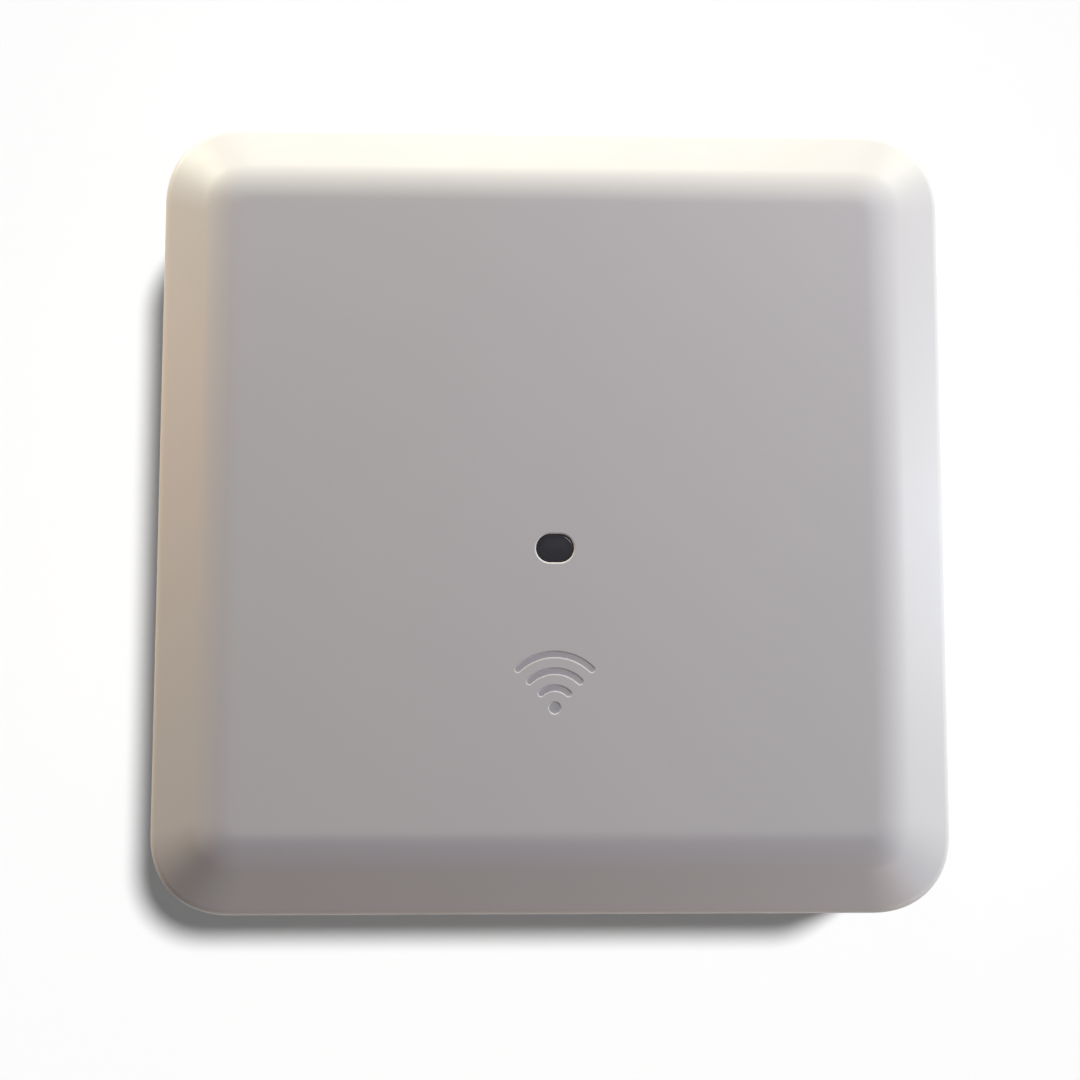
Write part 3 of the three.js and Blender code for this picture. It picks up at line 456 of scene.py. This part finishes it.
def shell_section(depth):
    """The cover's side from rim to face, as (inset, z), moved inwards by depth.

    The shoulder's centre is where the wall and the slanted border, moved in by its radius, cross."""
    s = SHELL
    face_centre = (s["face_inset"], FACE_Z - s["face_radius"])
    a1, b1 = -math.sin(s["slope"]), math.cos(s["slope"])
    c1 = a1 * face_centre[0] + b1 * face_centre[1] + s["face_radius"] - s["shoulder_radius"]
    a2, b2 = -math.cos(s["draft"]), math.sin(s["draft"])
    c2 = b2 * RIM_Z - s["shoulder_radius"]
    determinant = a1 * b2 - a2 * b1
    shoulder = ((c1 * b2 - c2 * b1) / determinant, (a1 * c2 - a2 * c1) / determinant)

    def along(centre, radius, start, end, steps):
        found = []
        for i in range(steps + 1):
            angle = start + (end - start) * i / steps
            reach = radius - depth
            found.append((centre[0] - reach * math.sin(angle), centre[1] + reach * math.cos(angle)))
        return found

    wall_turn = math.pi / 2 - s["draft"]
    section = along(shoulder, s["shoulder_radius"], wall_turn, s["slope"], s["shoulder_steps"])
    section += along(face_centre, s["face_radius"], s["slope"], 0, s["face_steps"])
    return section


def rim_point(depth, height):
    """Where the skirt's wall, moved inwards by depth, is at a height above the rim."""
    draft = SHELL["draft"]
    return (height * math.tan(draft) + depth / math.cos(draft), RIM_Z + height)


def eased_corner(steps):
    """A quarter turn whose curvature grows and fades, as offsets from the corner that it cuts off.

    It cuts off as much of the corner as an arc of radius 1 does."""
    points = [Vector((0.0, 0.0))]
    fine = 16
    for i in range(steps * fine):
        share = (i + 0.5) / (steps * fine)
        heading = math.pi / 2 * (share - math.sin(2 * math.pi * share) / (2 * math.pi))
        points.append(points[-1] + Vector((-math.sin(heading), math.cos(heading))))
    corner = Vector((0.0, points[-1].y))
    points = [p - corner for p in points[::fine]]
    scale = (math.sqrt(2) - 1) / points[steps // 2].length
    return [p * scale for p in points]


EASED = eased_corner(SHELL["corner_steps"])


def shell_ring(inset, z):
    """A section of the shell: round corners at the rim that ease out more and more towards the face."""
    radius = SHELL["rim_radius"] - SHELL["radius_loss"] * inset
    half = HALF - inset
    ease = min(1.0, inset / SHELL["face_inset"])
    circle = arc((-1, -1), 1, 0, 90, SHELL["corner_steps"])
    offsets = [Vector(c).lerp(e, ease) * radius for c, e in zip(circle, EASED)]
    outline = []
    for quarter in range(4):
        turn = Matrix.Rotation(quarter * math.pi / 2, 2)
        outline += [tuple(turn @ (Vector((half, half)) + offset)) for offset in offsets]
    return at_height(outline, z)


def stadium(centre, length, width, grow=0.0):
    """A pill-shaped outline, larger all round by grow. A sliver keeps its ends' points apart."""
    radius = width / 2 + grow
    sliver = 0.001
    return rounded_rectangle(centre, length / 2 + grow, radius, radius - sliver, steps=10)


def window_cutter():
    """The window's hole, with its rounded top edge."""
    lip = WINDOW["lip"]
    fillet = WINDOW["fillet"]
    hole = (LENS_HIGH.x - LENS_LOW.x - 2 * lip, LENS_HIGH.y - LENS_LOW.y - 2 * lip)
    centre = (LENS_AT.x, LENS_AT.y)
    sections = [(stadium(centre, *hole), FACE_Z - WINDOW["hole_depth"])]
    sections.append((stadium(centre, *hole), FACE_Z - fillet))
    for x, z in arc((fillet, -fillet), fillet, 180, 90, WINDOW["fillet_steps"])[1:]:
        sections.append((stadium(centre, *hole, grow=x), FACE_Z + z))
    sections.append((stadium(centre, *hole, grow=fillet), FACE_Z + 1))
    return slab("window_cutter", sections)


# The generic radio-wave mark: a dot and three arcs, in angles each side of straight up.
MARK = {
    "centre_y": -52.0,
    "depth": 0.32,
    "half_width": 0.75,
    "flare": 0.35,
    "dot_radius": 1.5,
    "band_radii": (5.2, 9.6, 14.0),
    "band_spread": 44,
    "band_steps": 28,
    "end_steps": 8,
}


def mark_cutter(name, outline):
    """A shallow groove whose sides flare out towards the face."""
    depth, flare = MARK["depth"], MARK["flare"]
    height_and_growth = [(-depth, 0.0), (-depth * 0.45, flare * 0.25), (0.0, flare), (depth, flare * 1.6)]
    return slab(name, [(outline(grow), FACE_Z + height) for height, grow in height_and_growth])


def band(radius):
    """The outline of an arc-shaped groove above the mark's centre, with round ends."""
    centre = Vector((0, MARK["centre_y"]))
    first, last = 90 - MARK["band_spread"], 90 + MARK["band_spread"]
    steps, end_steps = MARK["band_steps"], MARK["end_steps"]

    def outline(grow):
        half = MARK["half_width"] + grow
        points = arc(centre, radius + half, first, last, steps)
        end = centre + radius * Vector((math.cos(math.radians(last)), math.sin(math.radians(last))))
        points += arc(end, half, last, last + 180, end_steps)[1:-1]
        points += arc(centre, radius - half, last, first, steps)
        end = centre + radius * Vector((math.cos(math.radians(first)), math.sin(math.radians(first))))
        points += arc(end, half, first + 180, first + 360, end_steps)[1:-1]
        return points

    return outline


def dot(grow):
    """The outline of the mark's dot, a point every 10 degrees."""
    return arc((0, MARK["centre_y"]), MARK["dot_radius"] + grow, 0, 350, 35)


def make_cover():
    """The cover: its shell, the four screw bosses, the window's hole and the mark."""
    wall = SHELL["wall"]
    edge = SHELL["edge"]
    turn = edge * 0.3
    flat = SHELL["flat_inset"]
    inner = [(flat, FACE_Z - wall)] + list(reversed(shell_section(wall)))
    rim = [rim_point(wall, edge), rim_point(wall - turn, turn), rim_point(wall - edge, 0)]
    rim += [rim_point(edge, 0), rim_point(turn, turn), rim_point(0, edge)]
    outer = shell_section(0) + [(flat, FACE_Z)]
    cover = loft("front_cover_shell", [shell_ring(*point) for point in inner + rim + outer])

    seat = box_mm("cover_seal")[0].z + BOSS["gap"]
    boss = [(BOSS["foot_radius"], seat), (BOSS["radius"], seat + BOSS["foot"])]
    boss.append((BOSS["radius"], BOSS["top"]))
    pilot = [(PILOT["radius"], seat - PILOT["below"]), (PILOT["radius"], PILOT["top"])]
    bosses = []
    pilots = []
    for sx, sy in CORNERS:
        at = (sx * SCREW_AT.x, sy * SCREW_AT.y, 0)
        bosses.append(turned("boss", boss, at))
        pilots.append(turned("pilot", pilot, at, sides=PILOT["sides"]))
    combine(cover, bosses, "UNION")
    cutters = [window_cutter(), mark_cutter("dot", dot)]
    for radius in MARK["band_radii"]:
        cutters.append(mark_cutter("band", band(radius)))
    combine(cover, cutters + pilots, "DIFFERENCE")
    settle(cover, BODY, MATERIALS["cover_plastic"], ["front_cover"])
    smooth(cover)


def make_lens():
    """The window: a lip behind the cover's face and a slightly domed pill in the hole."""
    lip_top = FACE_Z - SHELL["wall"] - LENS["gap"]
    pill = -WINDOW["lip"] - LENS["gap"]
    edge = LENS["edge"]
    edge_z = LENS_HIGH.z - LENS["dome_rise"]
    rings = [
        (-LENS["chamfer"], LENS_LOW.z),
        (0.0, LENS_LOW.z + LENS["chamfer"]),
        (0.0, lip_top),
        (pill, lip_top),
    ]
    rings += [(pill + x, edge_z + z) for x, z in arc((-edge, -edge), edge, 0, 90, LENS["edge_steps"])]
    for step in range(1, LENS["dome_steps"] + 1):
        rise = LENS["dome_rise"] * step / LENS["dome_steps"]
        rings.append((pill - edge - LENS["step_in"] * step, edge_z + rise))
    centre = (LENS_AT.x, LENS_AT.y)
    size = (LENS_HIGH.x - LENS_LOW.x, LENS_HIGH.y - LENS_LOW.y)
    lens = slab("status_lens_window", [(stadium(centre, *size, grow), z) for grow, z in rings])
    settle(lens, BODY, MATERIALS["lens_plastic"], ["status_lens"])
    smooth(lens, angle=40)


# ---------------------------------------------------------------- fasteners
THREAD_DEPTH = 0.22

# Heights are measured from the underside of the head. Shares are of the shank's or the head's own size.
SCREW = {
    "tip_share": 0.6,
    "tip_height": 0.5,
    "tip_chamfer": 0.2,
    "thread_from": 0.6,
    "thread_to": -1.2,
    "neck_from": -1.0,
    "undercut": 0.1,
    "chamfer": 0.15,
    "brim_share": 0.4,
    "dome_share": 0.45,
    "socket_share": 0.45,
    "socket_floor": 0.35,
}

# Profiles as (radius, height) pairs going up from the low end, or for the rivet's tail from the high end.
STUD_HEAD = [(4.4, 0.0), (4.85, 0.35), (5.0, 0.7), (5.0, 2.2), (4.8, 2.4)]
STUD_NECK = [(2.6, 2.4), (2.5, 2.5), (2.5, 4.95), (2.1, 4.95)]
STUD = {
    "radius": 2.1,
    "thread_from": 5.2,
    "pitch": 0.7,
    "tip": 0.6,
    "tip_radius": 1.6,
    "socket_radius": 2.0,
    "socket_depth": 1.4,
}
RIVET_DOME = [(1.2, 0.0), (2.0, 0.1), (2.45, 0.32), (2.6, 0.6), (1.2, 0.6)]
RIVET_TAIL = [(1.2, -0.35), (2.0, -0.35), (1.85, -0.12), (1.3, 0.0)]


def hex_socket(at, radius, low, high):
    """A cutter for a six-sided socket."""
    corners = arc(at, radius, 0, 300, 5)
    return slab("socket", [(corners, low), (corners, high)])


def thread(radius, low, high, pitch=0.6):
    """The ridges of a threaded shank, as (radius, height) pairs going up."""
    profile = []
    height = low
    while height + pitch < high:
        profile += [(radius - THREAD_DEPTH, height), (radius, height + pitch / 2)]
        height += pitch
    return profile


def make_screw(node, head_radius, head_height, shank_radius, upside_down):
    """A pan-head machine screw with a domed head, a six-sided socket and a threaded shank."""
    low, high = box_mm(node)
    x, y = middle_mm(node)[:2]
    seat = low.z + head_height if upside_down else high.z - head_height
    length = high.z - seat if upside_down else seat - low.z
    neck = shank_radius - SCREW["undercut"]
    chamfer = SCREW["chamfer"]
    brim = head_height * SCREW["brim_share"]
    profile = [(shank_radius * SCREW["tip_share"], -length)]
    profile.append((shank_radius - SCREW["tip_chamfer"], -length + SCREW["tip_height"]))
    profile += thread(shank_radius, -length + SCREW["thread_from"], SCREW["thread_to"])
    profile += [(neck, SCREW["neck_from"]), (neck, 0.0), (head_radius - chamfer, 0.0)]
    profile += [(head_radius, chamfer), (head_radius, brim)]
    for angle in range(15, 91, 15):
        rise = math.sin(math.radians(angle))
        radius = head_radius * (1 - SCREW["dome_share"] * rise**2)
        profile.append((radius, brim + (head_height - brim) * rise))
    screw = turned(node + "_detail", profile, (x, y, seat), upside_down=upside_down)
    sign = -1 if upside_down else 1
    ends = sorted([seat + sign * head_height * SCREW["socket_floor"], seat + sign * (head_height + 1)])
    combine(screw, [hex_socket((x, y), head_radius * SCREW["socket_share"], *ends)], "DIFFERENCE")
    settle(screw, BODY, MATERIALS["screw_steel"], [node])
    smooth(screw)


def make_stud(node):
    """A shoulder stud, head at the low end: chamfered head, neck and threaded shank."""
    low, high = box_mm(node)
    x, y = middle_mm(node)[:2]
    length = high.z - low.z
    ridges = thread(STUD["radius"], STUD["thread_from"], length - STUD["tip"], STUD["pitch"])
    profile = STUD_HEAD + STUD_NECK + ridges + [(STUD["tip_radius"], length)]
    stud = turned(node + "_detail", profile, (x, y, low.z))
    socket = hex_socket((x, y), STUD["socket_radius"], low.z - 1, low.z + STUD["socket_depth"])
    combine(stud, [socket], "DIFFERENCE")
    settle(stud, BODY, MATERIALS["screw_steel"], [node])
    smooth(stud)


def make_rivet(node):
    """A rivet with its dome at the low end and a flat tail at the high end."""
    low, high = box_mm(node)
    x, y = middle_mm(node)[:2]
    length = high.z - low.z
    profile = RIVET_DOME + [(radius, length + height) for radius, height in RIVET_TAIL]
    rivet = turned(node + "_detail", profile, (x, y, low.z))
    settle(rivet, BRACKET, MATERIALS["screw_steel"], [node])
    smooth(rivet)


# ---------------------------------------------------------------- port details
# Contacts run along (y, height) points, with heights from the roof of a jack's cavity or the USB tongue.
JACK_ROUTE = [(65.5, -3.6), (67.5, -3.4), (70.0, -2.4), (73.0, -1.1), (75.0, -0.35)]
JACK = {"roof": 2.4, "pitch": 1.02, "middle": 3.5, "count": 8, "width": 0.36, "thickness": 0.25}
USB_ROUTE = [(66.2, 0.0), (68.0, 0.0), (75.3, 0.0), (75.8, 0.1)]
USB = {"tongue": 3.55, "pads": (-3.5, -1.0, 1.0, 3.5), "width": 1.0, "thickness": 0.2}


def strip(points, x, width, thickness):
    """The rings of a flat spring wire along (y, z) points."""
    rings = []
    for i, (y, z) in enumerate(points):
        back = Vector(points[max(i - 1, 0)])
        ahead = Vector(points[min(i + 1, len(points) - 1)])
        along = (ahead - back).normalized()
        across = Vector((-along.y, along.x)) * thickness / 2
        rings.append(
            [
                (x - width / 2, y + across.x, z + across.y),
                (x + width / 2, y + across.x, z + across.y),
                (x + width / 2, y - across.x, z - across.y),
                (x - width / 2, y - across.x, z - across.y),
            ]
        )
    return rings


def merged(name, pieces):
    """Several bodies as one object."""
    shape = bmesh.new()
    for piece in pieces:
        shape.from_mesh(piece.data)
        bpy.data.objects.remove(piece)
    mesh = bpy.data.meshes.new(name)
    shape.to_mesh(mesh)
    shape.free()
    return link(name, mesh)


def make_contacts(node):
    """The eight sprung contacts of a modular jack, on the side away from the latch's notch."""
    x = middle_mm(node).x
    roof = box_mm(node)[1].z - JACK["roof"]
    route = [(y, roof + height) for y, height in JACK_ROUTE]
    wires = []
    for i in range(JACK["count"]):
        across = x + (i - JACK["middle"]) * JACK["pitch"]
        wires.append(loft("wire", strip(route, across, JACK["width"], JACK["thickness"])))
    contacts = merged(node + "_contacts", wires)
    settle(contacts, BODY, GOLD)
    smooth(contacts)


def make_usb_contacts():
    """The four flat contacts on the tongue of the USB socket."""
    x = middle_mm("usb_socket").x
    tongue = box_mm("usb_socket")[1].z - USB["tongue"]
    route = [(y, tongue + height) for y, height in USB_ROUTE]
    pads = [loft("pad", strip(route, x + at, USB["width"], USB["thickness"])) for at in USB["pads"]]
    contacts = merged("usb_socket_contacts", pads)
    settle(contacts, BODY, GOLD)
    smooth(contacts)


# ---------------------------------------------------------------- carried-over CAD nodes
def dress(node, slot, bevel):
    """Gives a CAD node its material, merges its facets, rounds its edges and smooths its shading."""
    piece = NODES[node]
    piece.data.materials.clear()
    piece.data.materials.append(MATERIALS[slot])
    weld = piece.modifiers.new("weld", "WELD")
    weld.merge_threshold = 1e-5
    flat = piece.modifiers.new("flat", "DECIMATE")
    flat.decimate_type = "DISSOLVE"
    flat.angle_limit = math.radians(1)
    edge = piece.modifiers.new("edge", "BEVEL")
    edge.width = bevel * MM
    edge.segments = 2
    edge.limit_method = "ANGLE"
    edge.angle_limit = math.radians(35)
    edge.use_clamp_overlap = True
    shade_by_area(piece)


# ---------------------------------------------------------------- assembly
make_cover()
make_lens()

# Each kind's head radius, head height and shank radius, and whether its head points down.
SCREWS = {
    "board_screw": (3.0, 2.0, 1.4, False),
    "tray_screw": (3.0, 2.0, 1.4, False),
    "cover_screw": (3.1, 1.9, 1.4, True),
}
for kind, measures in SCREWS.items():
    for number in range(1, 5):
        make_screw(f"{kind}_{number}", *measures)
for number in range(1, 5):
    make_stud(f"mount_stud_{number}")
for number in (1, 2):
    make_rivet(f"leaf_rivet_{number}")
for jack in ("poe_jack", "aux_jack", "console_jack"):
    make_contacts(jack)
make_usb_contacts()

SLOT_OF = {row["node"]: row["material_slot"] for row in frame["record"]["subparts"]}
BEVELS = {"base_casting": 0.5, "mounting_bracket": 0.3, "detent_leaf": 0.12, "rating_label": 0.05}
USUAL_BEVEL = 0.15
for node_name, cad_piece in NODES.items():
    if not cad_piece.hide_render:
        dress(node_name, SLOT_OF[node_name], BEVELS.get(node_name, USUAL_BEVEL))


# ---------------------------------------------------------------- stage, lights and camera
def collection_of(name, members):
    made = bpy.data.collections.new(name)
    bpy.context.scene.collection.children.link(made)
    for member in members:
        made.objects.link(member)
    return made


def pale(name, level, glow=0.0):
    """A matt grey of that level, which can glow white."""
    made = bpy.data.materials.new(name)
    made.use_nodes = True
    surface = made.node_tree.nodes["Principled BSDF"]
    surface.inputs["Base Color"].default_value = (level, level, level, 1)
    surface.inputs["Roughness"].default_value = 0.9
    surface.inputs["Emission Color"].default_value = (1, 1, 1, 1)
    surface.inputs["Emission Strength"].default_value = glow
    return made


def make_floor():
    """A square floor just under the part."""
    reach = 4500
    height = -0.05
    corners = [Vector((sx * reach, sy * reach, height)) * MM for sx, sy in CORNERS]
    mesh = bpy.data.meshes.new("floor")
    mesh.from_pydata(corners, [], [(0, 1, 2, 3)])
    floor = link("floor", mesh)
    floor.data.materials.append(pale("floor", level=0.85))
    floor.visible_diffuse = False
    return floor


def make_backdrop():
    """A white sweep that rises all round the floor. It lights nothing and shades nothing."""
    reach = 4000
    bend = 800
    top = 6000
    profile = arc((reach - bend, bend), bend, 270, 360, 12) + [(reach, top)]
    rings = [at_height(arc((0, 0), radius, 0, 355, 71), z) for radius, z in profile]
    backdrop = loft("backdrop", rings, capped=False)
    backdrop.data.materials.append(pale("backdrop", level=0.0, glow=0.93))
    backdrop.data.materials[0].cycles.emission_sampling = "NONE"
    backdrop.visible_diffuse = False
    backdrop.visible_glossy = False
    backdrop.visible_transmission = False
    backdrop.visible_shadow = False
    return backdrop


# Each light's name, place, size, power in watts, colour and the pieces that it falls on. The lights from
# behind and from the left have their own strengths for what is below the cover, so that nothing burns out.
LIGHTS = [
    ("back", (0, 1500, 190), (900, 240), 11.7, (1.0, 0.98, 0.83), "face"),
    ("back_left", (-1000, 1100, 190), (500, 240), 10.3, (1.0, 0.89, 0.69), "face"),
    ("back_right", (1000, 1100, 190), (500, 240), 7.9, (1.0, 0.97, 0.70), "face"),
    ("back_below", (0, 1500, 190), (900, 240), 8.0, (1.0, 0.98, 0.92), "below"),
    ("left_side", (-420, 100, 100), (120, 80), 0.22, (1.0, 0.40, 0.02), "face"),
    ("left_corner", (-260, 260, 95), (80, 80), 0.146, (0.82, 1.0, 0.88), "face"),
    ("left_below", (-420, 100, 100), (120, 80), 0.60, (1.0, 0.86, 0.70), "below"),
    ("right_side", (420, 20, 100), (120, 80), 0.46, (0.80, 0.89, 1.0), "all"),
    ("right_corner", (280, -260, 95), (80, 80), 0.085, (0.27, 0.76, 1.0), "face"),
    ("front_right", (700, -900, 190), (500, 240), 3.35, (1.0, 0.69, 0.52), "all"),
    ("high_right", (650, 650, 910), (520, 520), 6.64, (0.92, 0.88, 1.0), "all"),
]
LIT_POINT = Vector((0, 0, 55))


def area_light(name, at, size, power, color, receivers):
    """A rectangular light aimed at the middle of the cover, which only falls on its receivers."""
    data = bpy.data.lights.new(name, "AREA")
    data.shape = "RECTANGLE"
    data.size = size[0] * MM
    data.size_y = size[1] * MM
    data.energy = power
    data.color = color
    lamp = link(name, data)
    lamp.location = Vector(at) * MM
    lamp.rotation_euler = (LIT_POINT - Vector(at)).to_track_quat("-Z", "Y").to_euler()
    lamp.visible_camera = False
    lamp.light_linking.receiver_collection = receivers


def sun(name, direction, strength, spread, receivers):
    """A distant light whose rays spread by that many degrees."""
    data = bpy.data.lights.new(name, "SUN")
    data.energy = strength
    data.angle = math.radians(spread)
    lamp = link(name, data)
    lamp.rotation_euler = Vector(direction).to_track_quat("-Z", "Y").to_euler()
    lamp.light_linking.receiver_collection = receivers
    return lamp


STAGE = [make_floor(), make_backdrop()]
shown = [o for o in bpy.context.scene.objects if o.type == "MESH" and o not in STAGE]
FACE_PIECES = ("front_cover_shell", "status_lens_window")
RECEIVERS = {
    "all": collection_of("all_lit", shown),
    "face": collection_of("face_lit", [o for o in shown if o.name in FACE_PIECES]),
    "below": collection_of("below_lit", [o for o in shown if o.name not in FACE_PIECES]),
}
FLOOR_ONLY = collection_of("floor_only", STAGE[:1])
for *light, lit in LIGHTS:
    area_light(*light, RECEIVERS[lit])
sun("floor_sun", (-0.35, -0.35, -1), strength=3.35, spread=8, receivers=FLOOR_ONLY)
fill = sun("floor_fill", (0, 0, -1), strength=0.35, spread=10, receivers=FLOOR_ONLY)
fill.data.use_shadow = False

world = bpy.data.worlds.new("studio")
bpy.context.scene.world = world
world.use_nodes = True
sky = world.node_tree.nodes["Background"]
sky.inputs["Color"].default_value = (1.0, 1.0, 1.0, 1)
sky.inputs["Strength"].default_value = 0.075
bpy.context.scene.view_settings.view_transform = "Standard"

# The photo's camera: its place, and its turn in degrees away from looking straight down.
CAMERA_AT = (-12.9, -34.0, 400.0)
CAMERA_TURN = {"X": -4.42, "Y": 1.51, "Z": -0.22}
camera_data = bpy.data.cameras.new("camera")
camera_data.lens = 42.74
camera_data.sensor_width = 36.0
camera_data.clip_start = 0.01
camera = link("camera", camera_data)
to_camera = Matrix.Identity(4)
for axis, degrees in CAMERA_TURN.items():
    to_camera = Matrix.Rotation(math.radians(degrees), 4, axis) @ to_camera
camera.matrix_world = Matrix.Translation(Vector(CAMERA_AT) * MM) @ to_camera.transposed()
bpy.context.scene.camera = camera
